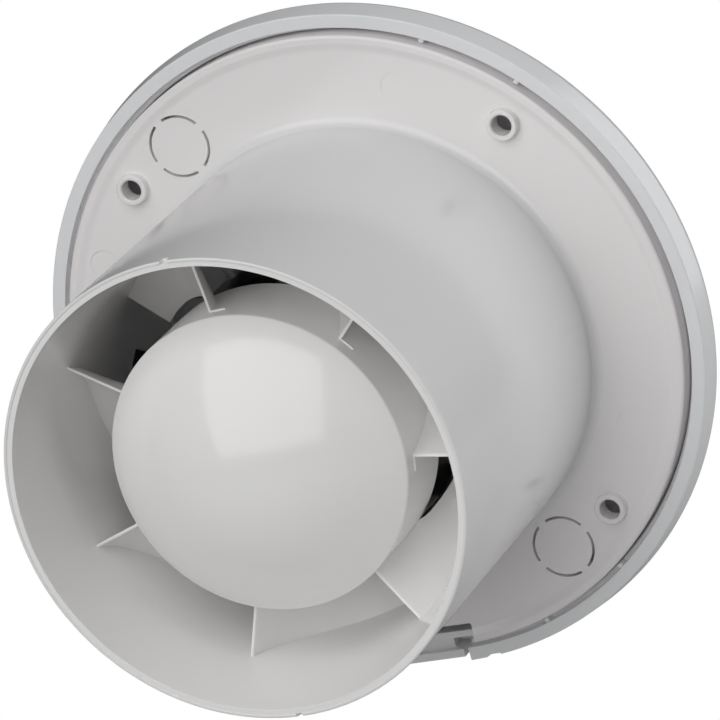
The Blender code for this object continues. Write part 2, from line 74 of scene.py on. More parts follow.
class Slot(Enum):
    """The record's material slots."""

    HOUSING_WHITE = "abs_white"
    DUCT_WHITE = "abs_white_duct"
    COVER_WHITE = "abs_white_cover"
    LATCH_WHITE = "abs_white_latch"
    IMPELLER = "impeller_black"
    ZINC = "zinc_plate"
    LAMINATIONS = "lamination_steel"
    BRIGHT_STEEL = "bright_steel"
    COPPER = "enamelled_copper"
    RUBBER = "rubber_black"
    BRASS = "brass"
    TERMINAL = "terminal_grey"


class Cut(Enum):
    """How one solid is combined with another."""

    JOIN = "UNION"
    TAKE_AWAY = "DIFFERENCE"


# ---- mesh tools --------------------------------------------------------------------------------
def soften(corners: Sequence[Corner], closed: bool = True, arc: int = 5) -> list[Point]:
    """Rounds the corners of a (radius, along) outline.

    Args:
        corners: radius, along and fillet radius of each corner, in order.
        closed: whether the last corner joins the first.
        arc: steps of each fillet.

    Returns:
        The outline's points.
    """
    points: list[Point] = []
    count = len(corners)
    for i, (r, y, fillet) in enumerate(corners):
        end = not closed and i in (0, count - 1)
        if fillet <= 0.0 or end:
            points.append((r, y))
            continue
        here = Vector((r, y))
        back = Vector(corners[i - 1][:2]) - here
        ahead = Vector(corners[(i + 1) % count][:2]) - here
        reach = min(back.length, ahead.length) * 0.49
        back.normalize()
        ahead.normalize()
        half = math.acos(max(-1.0, min(1.0, back.dot(ahead)))) / 2.0
        if half > math.pi / 2.0 - 0.01:
            points.append((r, y))
            continue
        radius = min(fillet, reach * math.tan(half))
        centre = here + (back + ahead).normalized() * (radius / math.sin(half))
        first = here + back * (radius / math.tan(half)) - centre
        turn = first.angle_signed(here + ahead * (radius / math.tan(half)) - centre)
        for k in range(arc + 1):
            a = -turn * k / arc
            spot = centre + Vector((first.x * math.cos(a) - first.y * math.sin(a),
                                    first.x * math.sin(a) + first.y * math.cos(a)))
            points.append((spot.x, spot.y))
    return points


def bezier(ends: Sequence[Point], steps: int) -> list[Point]:
    """Points of a cubic curve through four control points, both ends included."""
    curve = []
    for i in range(steps + 1):
        t = i / steps
        w = ((1 - t) ** 3, 3 * t * (1 - t) ** 2, 3 * t * t * (1 - t), t ** 3)
        curve.append((sum(k * p[0] for k, p in zip(w, ends)),
                      sum(k * p[1] for k, p in zip(w, ends))))
    return curve


def around(radius: float, angle: float, along: float) -> Vector:
    """A point of the fan in metres, from its radius, angle in degrees and place along +Y."""
    a = math.radians(angle)
    return Vector((radius * math.cos(a), along, radius * math.sin(a))) * MM


def skin(bm: bmesh.types.BMesh, rings: Sequence[Sequence[Any]], closed: bool) -> None:
    """Joins rings of vertices with faces. A ring of one vertex is a pole.

    Args:
        bm: the mesh that the vertices are in.
        rings: the rings in order, each closed on itself.
        closed: whether the last ring joins the first, or else large end rings are capped.
    """
    pairs = list(zip(rings, rings[1:])) + ([(rings[-1], rings[0])] if closed else [])
    for low, high in pairs:
        count = max(len(low), len(high))
        for i in range(count):
            n = (i + 1) % count
            loop = [low[i % len(low)], low[n % len(low)], high[n % len(high)], high[i % len(high)]]
            loop = [v for k, v in enumerate(loop) if v not in loop[:k]]
            if len(loop) > 2:
                bm.faces.new(loop)
    if not closed:
        for ring in (rings[0], rings[-1]):
            if len(ring) > 2:
                bm.faces.new(ring)
    bmesh.ops.recalc_face_normals(bm, faces=bm.faces[:])


def lathe(bm: bmesh.types.BMesh, profile: Sequence[Point], steps: int = FINE_STEPS,
          centre: Vector = Vector((0.0, 0.0, 0.0))) -> None:
    """Turns a (radius, along) outline about a line along +Y.

    Args:
        bm: the mesh to add to.
        profile: the outline. One that starts on the line is open, any other is closed.
        steps: steps round the line.
        centre: a point of the line, in metres.
    """
    rings = []
    for r, y in profile:
        turns = 1 if r < 1e-6 else steps
        rings.append([bm.verts.new(centre + around(r, 360.0 * k / steps, y))
                      for k in range(turns)])
    skin(bm, rings, closed=profile[0][0] > 1e-6)


def peg(bm: bmesh.types.BMesh, spot: Vector, corners: Sequence[Corner],
        steps: int = SMALL_STEPS) -> None:
    """Turns a small solid about a line along +Y through spot; its corners start and end on it."""
    lathe(bm, soften(corners, closed=False, arc=4), steps, Vector((spot.x, 0.0, spot.z)))


def block(bm: bmesh.types.BMesh, low: Point3, high: Point3, soft: float = 0.0,
          turn: float = 0.0) -> None:
    """Adds a box with rounded edges.

    Args:
        bm: the mesh to add to.
        low: lowest x, y and z.
        high: highest x, y and z.
        soft: radius of its edges.
        turn: degrees it is turned about the fan's axis, from +X towards +Z.
    """
    a, b = Vector(low) * MM, Vector(high) * MM
    place = Matrix.Translation((a + b) / 2.0) @ Matrix.Diagonal((*(b - a), 1.0))
    place = Matrix.Rotation(math.radians(-turn), 4, "Y") @ place
    made = bmesh.ops.create_cube(bm, size=1.0, matrix=place)
    if soft > 0.0:
        edges = list({e for v in made["verts"] for e in v.link_edges})
        bmesh.ops.bevel(bm, geom=edges, offset=soft * MM, segments=3, profile=0.5,
                        affect="EDGES", clamp_overlap=True)


def piece(name: str, build: Callable[[bmesh.types.BMesh], None]) -> bpy.types.Object:
    """Makes an object whose mesh is filled by build.

    Args:
        name: the object's name.
        build: adds faces to the mesh it is given.

    Returns:
        The object, linked to the scene.
    """
    mesh = bpy.data.meshes.new(name)
    bm = bmesh.new()
    build(bm)
    bm.to_mesh(mesh)
    bm.free()
    obj = bpy.data.objects.new(name, mesh)
    bpy.context.scene.collection.objects.link(obj)
    return obj


def apply_modifiers(obj: bpy.types.Object) -> None:
    """Replaces an object's mesh by what its modifiers make of it."""
    shape = obj.evaluated_get(bpy.context.evaluated_depsgraph_get())
    made = bpy.data.meshes.new_from_object(shape)
    made.name = obj.name
    old = obj.data
    obj.modifiers.clear()
    obj.data = made
    bpy.data.meshes.remove(old)


def combine(obj: bpy.types.Object, cut: Cut,
            build: Callable[[bmesh.types.BMesh], None], solver: str = "MANIFOLD") -> None:
    """Joins a solid to an object, or takes it away.

    Args:
        obj: the object to change.
        cut: whether the solid is joined or taken away.
        build: makes the solid.
        solver: Blender's Boolean solver.
    """
    tool = piece(obj.name + "_tool", build)
    step = obj.modifiers.new("combine", "BOOLEAN")
    step.operation = cut.value
    step.solver = solver
    step.object = tool
    apply_modifiers(obj)
    spare = tool.data
    bpy.data.objects.remove(tool)
    bpy.data.meshes.remove(spare)


def smooth(obj: bpy.types.Object, sharp_above: float = 32.0) -> None:
    """Shades an object smooth between its sharp edges, with flat faces kept flat.

    Args:
        obj: the object.
        sharp_above: angle in degrees above which an edge is sharp.
    """
    mesh = obj.data
    mesh.polygons.foreach_set("use_smooth", [True] * len(mesh.polygons))
    mesh.set_sharp_from_angle(angle=math.radians(sharp_above))
    weighted = obj.modifiers.new("flat_faces_flat", "WEIGHTED_NORMAL")
    weighted.keep_sharp = True
    weighted.weight = 60
    apply_modifiers(obj)


# ---- finishes ----------------------------------------------------------------------------------
def linear(code: str) -> tuple[float, float, float, float]:
    """The linear colour of an sRGB hex code."""
    parts = [int(code[i:i + 2], 16) / 255.0 for i in (0, 2, 4)]
    r, g, b = (c / 12.92 if c <= 0.04045 else ((c + 0.055) / 1.055) ** 2.4 for c in parts)
    return (r, g, b, 1.0)


def add_node(tree: bpy.types.NodeTree, kind: str, settings: Mapping[str, Any],
             links: Mapping[str, bpy.types.NodeSocket]) -> bpy.types.Node:
    """Adds a node with its settings and links.

    Args:
        tree: the node tree.
        kind: the node's type.
        settings: values by the name of a property, or else of an input.
        links: outputs of other nodes, by the name of the input they feed.

    Returns:
        The node.
    """
    node = tree.nodes.new(kind)
    for name, value in settings.items():
        if hasattr(node, name):
            setattr(node, name, value)
        else:
            node.inputs[int(name) if name.isdigit() else name].default_value = value
    for name, output in links.items():
        tree.links.new(output, node.inputs[int(name) if name.isdigit() else name])
    return node


def per_metre(size_mm: float) -> float:
    """A texture scale, from the size in millimetres of the pattern it should give."""
    return 1000.0 / size_mm


def blank(name: str) -> tuple[bpy.types.Material, bpy.types.NodeTree, bpy.types.Node,
                              bpy.types.NodeSocket]:
    """A new material, its tree, its Principled shader and the object's own coordinates."""
    mat = bpy.data.materials.new(name)
    mat.use_nodes = True
    tree = mat.node_tree
    place = add_node(tree, "ShaderNodeTexCoord", {}, {})
    return mat, tree, tree.nodes["Principled BSDF"], place.outputs["Object"]


@dataclass(frozen=True)
class MouldedPlastic:
    """An injection-moulded thermoplastic: a skin of fine tool texture over faint flow marks.

    The tool's texture gives a soft satin sheen, and the melt's flow leaves slow changes of shade and
    gloss a few centimetres long.
    """

    name: str
    colour: str
    shade: str                 # where the melt cooled last
    roughness: float
    grain_mm: float = 0.45     # spark-eroded tool texture, drawn a little coarse so that it shows
    grain_depth: float = 0.010
    flow_mm: float = 34.0
    ripple_mm: float = 11.0
    ripple_depth: float = 0.012
    sink_mm: float = 0.25
    grain_strength: float = 0.08
    specular: float = 0.5
    ior: float = 1.53
    base_tint: str = ""        # shade of the flat base beyond tint_radius
    tint_radius: float = 0.0

    def make(self) -> bpy.types.Material:
        """Makes the material."""
        mat, tree, shader, place = blank(self.name)
        flow = add_node(tree, "ShaderNodeTexNoise",
                        {"Scale": per_metre(self.flow_mm), "Detail": 3.0, "Roughness": 0.45,
                         "Distortion": 0.6}, {"Vector": place})
        colour = add_node(tree, "ShaderNodeMix",
                          {"data_type": "RGBA", "6": linear(self.colour),
                           "7": linear(self.shade)}, {"Factor": flow.outputs["Fac"]})
        tinted = colour.outputs[2]
        if self.base_tint:
            spot = add_node(tree, "ShaderNodeSeparateXYZ", {}, {"Vector": place})
            flat = add_node(tree, "ShaderNodeCombineXYZ", {},
                            {"X": spot.outputs["X"], "Y": spot.outputs["Z"]})
            reach = add_node(tree, "ShaderNodeVectorMath", {"operation": "LENGTH"},
                             {"0": flat.outputs["Vector"]})
            step = add_node(tree, "ShaderNodeMapRange",
                            {"From Min": (self.tint_radius - 1.2) * MM,
                             "From Max": (self.tint_radius + 1.2) * MM},
                            {"Value": reach.outputs["Value"]})
            tinted = add_node(tree, "ShaderNodeMix",
                              {"data_type": "RGBA", "7": linear(self.base_tint)},
                              {"Factor": step.outputs["Result"], "6": tinted}).outputs[2]
        tree.links.new(tinted, shader.inputs["Base Color"])
        sheen = add_node(tree, "ShaderNodeMapRange",
                         {"From Min": 0.3, "From Max": 0.7, "To Min": self.roughness - 0.02,
                          "To Max": self.roughness + 0.03}, {"Value": flow.outputs["Fac"]})
        tree.links.new(sheen.outputs["Result"], shader.inputs["Roughness"])
        grain = add_node(tree, "ShaderNodeTexNoise",
                         {"Scale": per_metre(self.grain_mm), "Detail": 2.0}, {"Vector": place})
        ripple = add_node(tree, "ShaderNodeTexNoise",
                          {"Scale": per_metre(self.ripple_mm), "Detail": 1.0},
                          {"Vector": place})
        sink = add_node(tree, "ShaderNodeBump",
                        {"Strength": self.ripple_depth, "Distance": self.sink_mm * MM},
                        {"Height": ripple.outputs["Fac"]})
        bump = add_node(tree, "ShaderNodeBump",
                        {"Strength": self.grain_strength, "Distance": self.grain_depth * MM},
                        {"Height": grain.outputs["Fac"], "Normal": sink.outputs["Normal"]})
        tree.links.new(bump.outputs["Normal"], shader.inputs["Normal"])
        shader.inputs["IOR"].default_value = self.ior
        shader.inputs["Specular IOR Level"].default_value = self.specular
        return mat


@dataclass(frozen=True)
class Metal:
    """A worked metal: rolled, ground or plated, with marks left by the working."""

    name: str
    colour: str
    shade: str
    roughness: float
    mark_mm: float = 0.35
    stretch: tuple[float, float, float] = (1.0, 1.0, 1.0)
    depth: float = 0.01

    def make(self) -> bpy.types.Material:
        """Makes the material."""
        mat, tree, shader, place = blank(self.name)
        laid = add_node(tree, "ShaderNodeMapping", {"Scale": self.stretch}, {"Vector": place})
        marks = add_node(tree, "ShaderNodeTexNoise",
                         {"Scale": per_metre(self.mark_mm), "Detail": 3.0},
                         {"Vector": laid.outputs["Vector"]})
        clouds = add_node(tree, "ShaderNodeTexNoise",
                          {"Scale": per_metre(6.0), "Detail": 4.0}, {"Vector": place})
        colour = add_node(tree, "ShaderNodeMix",
                          {"data_type": "RGBA", "6": linear(self.colour),
                           "7": linear(self.shade)}, {"Factor": clouds.outputs["Fac"]})
        tree.links.new(colour.outputs[2], shader.inputs["Base Color"])
        rough = add_node(tree, "ShaderNodeMapRange",
                         {"To Min": self.roughness - 0.07, "To Max": self.roughness + 0.10},
                         {"Value": marks.outputs["Fac"]})
        tree.links.new(rough.outputs["Result"], shader.inputs["Roughness"])
        bump = add_node(tree, "ShaderNodeBump",
                        {"Strength": 0.4, "Distance": self.depth * MM},
                        {"Height": marks.outputs["Fac"]})
        tree.links.new(bump.outputs["Normal"], shader.inputs["Normal"])
        shader.inputs["Metallic"].default_value = 1.0
        return mat


class Banding(Enum):
    """What the bands of a wound or stacked metal part are."""

    SHEETS = "sheets"          # stamped sheets, seen on edge
    WIRES = "wires"            # turns of enamelled wire


@dataclass(frozen=True)
class BandedMetal:
    """Stacked sheet steel or wound enamelled wire: fine bands along the fan's axis."""

    name: str
    colour: str
    shade: str
    roughness: float
    band_mm: float
    banding: Banding

    def make(self) -> bpy.types.Material:
        """Makes the material."""
        mat, tree, shader, place = blank(self.name)
        bands = add_node(tree, "ShaderNodeTexWave",
                         {"wave_type": "BANDS", "bands_direction": "Y",
                          "Scale": per_metre(self.band_mm) / math.tau * 0.62,
                          "Distortion": 0.4 if self.banding is Banding.SHEETS else 1.6,
                          "Detail": 1.0}, {"Vector": place})
        colour = add_node(tree, "ShaderNodeMix",
                          {"data_type": "RGBA", "6": linear(self.shade),
                           "7": linear(self.colour)}, {"Factor": bands.outputs["Fac"]})
        tree.links.new(colour.outputs[2], shader.inputs["Base Color"])
        spread = add_node(tree, "ShaderNodeMapRange",
                          {"To Min": self.roughness + 0.1, "To Max": self.roughness - 0.05},
                          {"Value": bands.outputs["Fac"]})
        tree.links.new(spread.outputs["Result"], shader.inputs["Roughness"])
        bump = add_node(tree, "ShaderNodeBump", {"Strength": 0.6, "Distance": 0.12 * MM},
                        {"Height": bands.outputs["Fac"]})
        tree.links.new(bump.outputs["Normal"], shader.inputs["Normal"])
        shader.inputs["Metallic"].default_value = 1.0
        return mat


FINISHES = {
    # Spark-textured ABS of the base plate and spigot: satin, a touch warm on the flat plate.
    Slot.HOUSING_WHITE: MouldedPlastic("abs_satin_base", "efefef", "eaeaea", 0.15,
                                       base_tint="f1eeee", tint_radius=51.0),
    # Polished-tool ABS of the air duct and its vanes: glossier, so it mirrors its own vanes. Its
    # colour is white plastic set whiter than the base plate's. That extra whiteness is painted
    # light, which lifts the shaded inside of the duct and also lightens the hub dome and guard that
    # share this finish.
    Slot.DUCT_WHITE: MouldedPlastic("abs_gloss_duct", "f6f5f4", "f3f2f1", 0.14,
                                    grain_depth=0.006),
    # Cover ring and front disc, the face that shows in the room: smooth and slightly cool.
    Slot.COVER_WHITE: MouldedPlastic("abs_smooth_cover", "eeeff0", "eaebed", 0.20,
                                     grain_depth=0.006),
    Slot.LATCH_WHITE: MouldedPlastic("abs_satin_latch", "e8e8e8", "e2e1e1", 0.30),
    # Black glass-filled impeller: dark, with a crisp sheen along its blades.
    Slot.IMPELLER: MouldedPlastic("polyamide_black_impeller", "1b1a1a", "151414", 0.24,
                                  grain_depth=0.008),
    Slot.TERMINAL: MouldedPlastic("polyamide_grey_terminal", "cfcfca", "c6c6c1", 0.42),
    Slot.RUBBER: MouldedPlastic("rubber_black_bush", "252525", "1d1d1d", 0.72,
                                grain_depth=0.02),
    # Zinc-plated pressing: pale grey, with the clouds of its plating.
    Slot.ZINC: Metal("zinc_plated_pressing", "aeb0b2", "9c9fa2", 0.36),
    Slot.BRIGHT_STEEL: Metal("ground_steel", "c8cacc", "b9bbbe", 0.22, mark_mm=0.25,
                             stretch=(1.0, 8.0, 1.0)),
    Slot.BRASS: Metal("nickel_free_brass", "c0a257", "ab8c42", 0.30, mark_mm=0.3),
    Slot.LAMINATIONS: BandedMetal("stacked_sheet_steel", "7b7d80", "4d4f52", 0.42, 0.6,
                                  Banding.SHEETS),
    Slot.COPPER: BandedMetal("enamelled_copper_wire", "b4602f", "6e3216", 0.30, 0.45,
                             Banding.WIRES),
}


class Palette:
    """The materials, each made once."""

    def __init__(self) -> None:
        """Starts with none made."""
        self.made: dict[Slot, bpy.types.Material] = {}

    def __getitem__(self, slot: Slot) -> bpy.types.Material:
        """The material of a slot."""
        if slot not in self.made:
            self.made[slot] = FINISHES[slot].make()
        return self.made[slot]


@dataclass
class SubAssembly:
    """What every sub-assembly shares: its palette and the way a piece is put on the frame."""

    palette: Palette

    def dress(self, obj: bpy.types.Object, slot: Slot, body: Body, *stands_for: str,
              sharp_above: float = 32.0) -> bpy.types.Object:
        """Finishes a piece and puts it on its body.

        Args:
            obj: the piece, in place.
            slot: its material slot.
            body: the body it rides on.
            stands_for: the CAD nodes it replaces.
            sharp_above: angle in degrees above which its edges are sharp.

        Returns:
            The piece.
        """
        smooth(obj, sharp_above)
        obj.data.materials.clear()
        obj.data.materials.append(self.palette[slot])
        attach(obj, body.value)
        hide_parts(*stands_for)
        LOG.info("%s: %d faces, rides on %s", obj.name, len(obj.data.polygons), body.value)
        return obj


# ---- sub-assemblies ----------------------------------------------------------------------------
@dataclass
class BasePlate(SubAssembly):
    """Base plate and duct spigot, one moulding, with its bosses, holes, knock-outs and marks."""

    spigot_r: float = 49.5
    bore_r: float = 48.1
    lip_bore_r: float = 48.8       # wider bore at the end, where the inner duct's mouth seats
    end: float = 80.0
    face: float = -1.8
    front: float = -4.0
    lip: float = -1.2
    plate_r: float = 69.2
    step_r: float = 65.9           # foot of the soft step up to the lip
    rim_front: float = -8.6
    boss_circle: float = 61.1
    boss_angles: Sequence[float] = (45.0, 135.0, 225.0, 315.0)
    knockout_circle: float = 58.7
    knockout_angles: Sequence[float] = (59.3, 239.3)
    slot_r: float = 6.65
    slot_w: float = 0.6
    slot_sweep: float = 72.0
    pin_marks: Sequence[tuple[float, float]] = ((58.9, 111.8), (58.7, 206.2), (61.7, 26.5),
                                                (60.5, 292.0))
    pin_r: float = 3.3
    pin_depth: float = 0.09

    def build(self) -> bpy.types.Object:
        """Builds the moulding."""
        outline = soften((
            (self.spigot_r, self.end, 0.3), (self.spigot_r, self.face, 2.0),
            (self.step_r, self.face, 3.0), (self.step_r + 1.6, self.lip, 1.4),
            (self.plate_r, self.lip, 0.6), (self.plate_r, self.rim_front, 0.3),
            (self.plate_r - 1.5, self.rim_front, 0.3), (self.plate_r - 1.5, self.front, 0.6),
            (self.bore_r, self.front, 0.3), (self.bore_r, 73.5, 0.0),
            (self.lip_bore_r, 75.0, 0.0), (self.lip_bore_r, self.end, 0.2)))
        base = piece("base_plate_moulding", lambda bm: lathe(bm, outline))
        combine(base, Cut.JOIN, self.bosses)
        combine(base, Cut.TAKE_AWAY, self.openings)
        combine(base, Cut.TAKE_AWAY, self.marks)
        return self.dress(base, Slot.HOUSING_WHITE, Body.HOUSING, "base_plate_spigot")

    def bosses(self, bm: bmesh.types.BMesh) -> None:
        """Raised screw bosses whose tops touch the wall."""
        for angle in self.boss_angles:
            peg(bm, around(self.boss_circle, angle, 0.0), (
                (0.0, -3.0, 0.0), (4.1, -3.0, 0.0), (4.1, self.face - 0.04, 0.0),
                (3.5, self.face, 0.3), (3.4, -0.3, 0.0), (3.2, 0.0, 0.35), (0.0, 0.0, 0.0)))

    def openings(self, bm: bmesh.types.BMesh) -> None:
        """Screw holes, knock-out slots, latch recess and key notches."""
        for angle in self.boss_angles:
            peg(bm, around(self.boss_circle, angle, 0.0), (
                (0.0, -6.0, 0.0), (2.25, -6.0, 0.0), (2.25, -0.3, 0.0), (2.6, 0.05, 0.0),
                (2.6, 2.0, 0.0), (0.0, 2.0, 0.0)))
        for angle in self.knockout_angles:
            for quarter in range(4):
                self.arc_slot(bm, around(self.knockout_circle, angle, 0.0),
                              angle + 9.0 + 90.0 * quarter)
        block(bm, (-4.1, self.rim_front - 1.0, -70.6), (16.0, 2.0, -64.7), 0.4)
        for side in (-1.0, 1.0):
            self.notch(bm, side)

    def arc_slot(self, bm: bmesh.types.BMesh, spot: Vector, start: float,
                 steps: int = 18) -> None:
        """A curved slot through the plate.

        Args:
            bm: the mesh to add to.
            spot: the middle of the knock-out, in metres.
            start: angle in degrees where the slot starts.
            steps: steps along the slot.
        """
        rings = []
        for i in range(steps + 1):
            a = math.radians(start + self.slot_sweep * i / steps)
            ring = []
            for dr, y in ((-0.5, self.front - 1.0), (0.5, self.front - 1.0),
                          (0.5, self.face + 1.0), (-0.5, self.face + 1.0)):
                r = (self.slot_r + dr * self.slot_w) * MM
                ring.append(bm.verts.new((spot.x + r * math.cos(a), y * MM,
                                          spot.z + r * math.sin(a))))
            rings.append(ring)
        skin(bm, rings, closed=False)

    def notch(self, bm: bmesh.types.BMesh, side: float) -> None:
        """A key notch in the spigot's end, square on one side and sloped on the other.

        Args:
            bm: the mesh to add to.
            side: 1 for the top notch, -1 for the bottom one.
        """
        deep = self.end - (1.3 if side < 0 else 1.7)
        shape = ((-0.75, deep), (0.15, deep), (0.95, self.end + 0.5), (-0.8, self.end + 0.5))
        if side > 0:
            shape = ((-0.75, deep), (0.75, deep), (0.8, self.end + 0.5), (-0.8, self.end + 0.5))
        rings = [[bm.verts.new(Vector((x, y, side * z)) * MM) for x, y in shape]
                 for z in (46.0, 51.0)]
        skin(bm, rings, closed=False)

    def marks(self, bm: bmesh.types.BMesh) -> None:
        """Shallow round marks of the ejector pins, each tilted a little so that one side shows."""
        for radius, angle in self.pin_marks:
            spot = around(radius, angle, 0.0)
            first = len(bm.verts)
            peg(bm, spot, ((0.0, self.face - self.pin_depth, 0.0),
                           (self.pin_r, self.face - self.pin_depth, 0.0),
                           (self.pin_r + 0.12, self.face + 0.5, 0.0),
                           (0.0, self.face + 0.5, 0.0)))
            bm.verts.ensure_lookup_table()
            centre = Vector((spot.x, self.face * MM, spot.z))
            lean = Matrix.Rotation(math.radians(1.7), 3, "X")
            bmesh.ops.rotate(bm, cent=centre, matrix=lean, verts=bm.verts[first:])


@dataclass
class GuideVaneDuct(SubAssembly):
    """Inner duct with its bell mouth, the hub shell, the motor web and seven guide vanes."""

    throat_r: float = 45.0
    wall: float = 1.3
    hub_r: float = 32.0
    shell_r: float = 30.4
    hub_near: float = 64.2
    hub_far: float = 46.2
    web: Point = (61.6, 63.4)
    vanes: int = 7
    first_vane: float = 85.3
    outlet: float = 61.2
    vane_depth: float = 27.4
    vane_root: Sequence[Point] = ((0.0, 31.1), (14.0, 31.1), (15.2, 32.3), (16.6, 32.8),
                                  (21.9, 33.8), (25.1, 34.3), (28.0, 34.9))
    vane_t: float = 1.15
    vane_edge_t: float = 0.62      # vanes thin out towards the outlet
    ridge_length: float = 3.3
    bush_circle: float = 20.0
    bush_angles: Sequence[float] = (90.0, 210.0, 330.0)

    def build(self) -> bpy.types.Object:
        """Builds the duct."""
        outer = self.throat_r + self.wall
        flare = [(self.throat_r, 55.0, 0.0), (45.06, 58.0, 0.0), (45.2, 61.0, 0.0),
                 (45.5, 64.5, 0.0), (45.95, 68.0, 0.0), (46.5, 72.0, 0.0),
                 (47.1, 76.0, 0.0), (47.68, 79.8, 0.12)]
        outline = soften([
            (48.83, 79.8, 0.02), (48.83, 75.8, 0.0), (47.8, 73.4, 0.0), (46.9, 66.0, 0.0),
            (outer, 56.0, 0.0), (outer, -2.6, 0.0), (outer + 1.0, -4.3, 0.4), (54.5, -4.3, 0.3),
            (54.5, -5.9, 0.3), (51.5, -5.9, 0.3), (48.0, -5.0, 2.0), (45.8, -2.6, 2.0),
            (self.throat_r, 1.5, 3.0)] + flare)
        duct = piece("guide_vane_duct_moulding", lambda bm: lathe(bm, outline))
        hub = soften((
            (self.hub_r, self.hub_near, 0.0), (self.hub_r, self.hub_far, 0.5),
            (self.shell_r, self.hub_far, 0.3), (self.shell_r, self.web[0], 0.5),
            (9.0, self.web[0], 0.3), (9.0, self.web[1], 0.3), (self.shell_r, self.web[1], 0.5),
            (self.shell_r, self.hub_near, 0.1)))
        combine(duct, Cut.JOIN, lambda bm: lathe(bm, hub))
        combine(duct, Cut.JOIN, self.vane_set)
        combine(duct, Cut.JOIN, self.ridges)
        combine(duct, Cut.TAKE_AWAY, self.bush_holes)
        return self.dress(duct, Slot.DUCT_WHITE, Body.HOUSING, "guide_vane_duct")

    @staticmethod
    def sweep(depth: float) -> float:
        """Degrees that a vane has turned at a depth in front of its outlet edge."""
        return 0.5 * depth + 0.0014 * depth ** 3

    def vane_set(self, bm: bmesh.types.BMesh) -> None:
        """Curved vanes with rounded edges, from inside the shell's wall to inside the duct's."""
        wall, along, across = self.throat_r + 0.75, 40, 10
        for k in range(self.vanes):
            rings = []
            for j in range(across + 1):
                ring = []
                for depth, side in self.vane_outline(self.vane_depth, along):
                    root = self.root(depth)
                    r = root + (wall - root) * j / across
                    ring.append(bm.verts.new(self.vane_point(k, r, depth, side)))
                rings.append(ring)
            skin(bm, rings, closed=False)

    def root(self, depth: float) -> float:
        """Inner radius of a vane at a depth: in the hub's wall, then free of the impeller."""
        for (d0, r0), (d1, r1) in zip(self.vane_root, self.vane_root[1:]):
            if depth <= d1:
                return r0 + (r1 - r0) * (depth - d0) / (d1 - d0)
        return self.vane_root[-1][1]

    def vane_outline(self, full: float, along: int) -> list[Point]:
        """The outline of a vane's section: depth, and half thickness to one side.

        Args:
            full: the section's depth.
            along: steps along it.

        Returns:
            Depth and signed half thickness of each point.
        """
        def half(depth: float) -> float:
            share = min(1.0, depth / (full * 0.45))
            return 0.5 * (self.vane_edge_t + (self.vane_t - self.vane_edge_t) * share)

        near, far = half(0.0), half(full)
        body = [near + (full - near - far) * i / along for i in range(along + 1)]
        tip = [(full - far + far * math.sin(a), far * math.cos(a))
               for a in (math.radians(x) for x in (30.0, 60.0, 90.0, 120.0, 150.0))]
        root = [(near - near * math.sin(a), -near * math.cos(a))
                for a in (math.radians(x) for x in (30.0, 60.0, 90.0, 120.0, 150.0))]
        return ([(d, half(d)) for d in body] + tip
                + [(d, -half(d)) for d in reversed(body)] + root)

    def vane_point(self, k: int, r: float, depth: float, side: float) -> Vector:
        """A point of a vane, in metres.

        Args:
            k: which vane.
            r: radius.
            depth: depth in front of the outlet edge.
            side: distance from its middle surface.

        Returns:
            The point.
        """
        slope = (0.5 + 0.0042 * depth ** 2) * math.pi / 180.0 * r
        lean = math.hypot(1.0, slope)
        angle = (self.first_vane + 360.0 * k / self.vanes - self.sweep(depth)
                 + math.degrees(side * lean / r))
        return around(r, angle, self.outlet - depth)

    def ridges(self, bm: bmesh.types.BMesh) -> None:
        """Short raised lines on the hub at each vane's outlet edge, left by the tool's split."""
        for k in range(self.vanes):
            start = self.first_vane + 360.0 * k / self.vanes
            rings = []
            for i in range(9):
                angle = start + math.degrees(self.ridge_length / self.hub_r) * i / 8
                rings.append([bm.verts.new(around(r, angle, y)) for r, y in (
                    (31.7, self.outlet - 0.5), (32.0, self.outlet - 0.45),
                    (32.28, self.outlet - 0.22), (32.0, self.outlet - 0.02),
                    (31.7, self.outlet))])
            skin(bm, rings, closed=False)

    def bush_holes(self, bm: bmesh.types.BMesh) -> None:
        """Holes in the web for the motor's rubber bushes."""
        for angle in self.bush_angles:
            peg(bm, around(self.bush_circle, angle, 0.0), (
                (0.0, self.web[0] - 1.0, 0.0), (3.2, self.web[0] - 1.0, 0.0),
                (3.2, self.web[1] + 1.0, 0.0), (0.0, self.web[1] + 1.0, 0.0)))


@dataclass
class HubDome(SubAssembly):
    """Domed cap on the outlet end of the motor hub."""

    edge_r: float = 32.0
    seat: float = 64.2
    cap_start: float = 65.0
    rise: float = 13.9
    skirt_r: float = 30.1
    wall: float = 1.7

    def cap(self, radius: float, rise: float, start: float, steps: int) -> list[Point]:
        """Points of a spherical cap from its top to its edge."""
        ball = (radius ** 2 + rise ** 2) / (2.0 * rise)
        full = math.asin(radius / ball)
        return [(ball * math.sin(full * i / steps),
                 start + rise - ball * (1.0 - math.cos(full * i / steps)))
                for i in range(steps + 1)]

    def build(self) -> bpy.types.Object:
        """Builds the cap."""
        outer = self.cap(self.edge_r, self.rise, self.cap_start, 60)
        inner = self.cap(self.skirt_r - self.wall, self.rise - 3.2, self.cap_start + 0.8, 16)
        outer[0], inner[0] = (0.0, outer[0][1]), (0.0, inner[0][1])
        edge = soften([(*outer[-6], 0.0), (self.edge_r, self.cap_start, 2.2),
                       (self.edge_r, self.seat, 0.0), (self.skirt_r, self.seat, 0.0),
                       (self.skirt_r, 63.6, 0.2), (self.skirt_r - self.wall, 63.6, 0.2),
                       (*inner[-2], 0.0)], closed=False)
        outline = outer[:-6] + edge + list(reversed(inner[:-2]))
        dome = piece("hub_dome_cap", lambda bm: self.turn(bm, outline))
        return self.dress(dome, Slot.DUCT_WHITE, Body.HOUSING, "motor_dome_cap",
                          sharp_above=38.0)

    @staticmethod
    def turn(bm: bmesh.types.BMesh, outline: Sequence[Point]) -> None:
        """Turns an outline that starts and ends on the axis."""
        lathe(bm, outline)


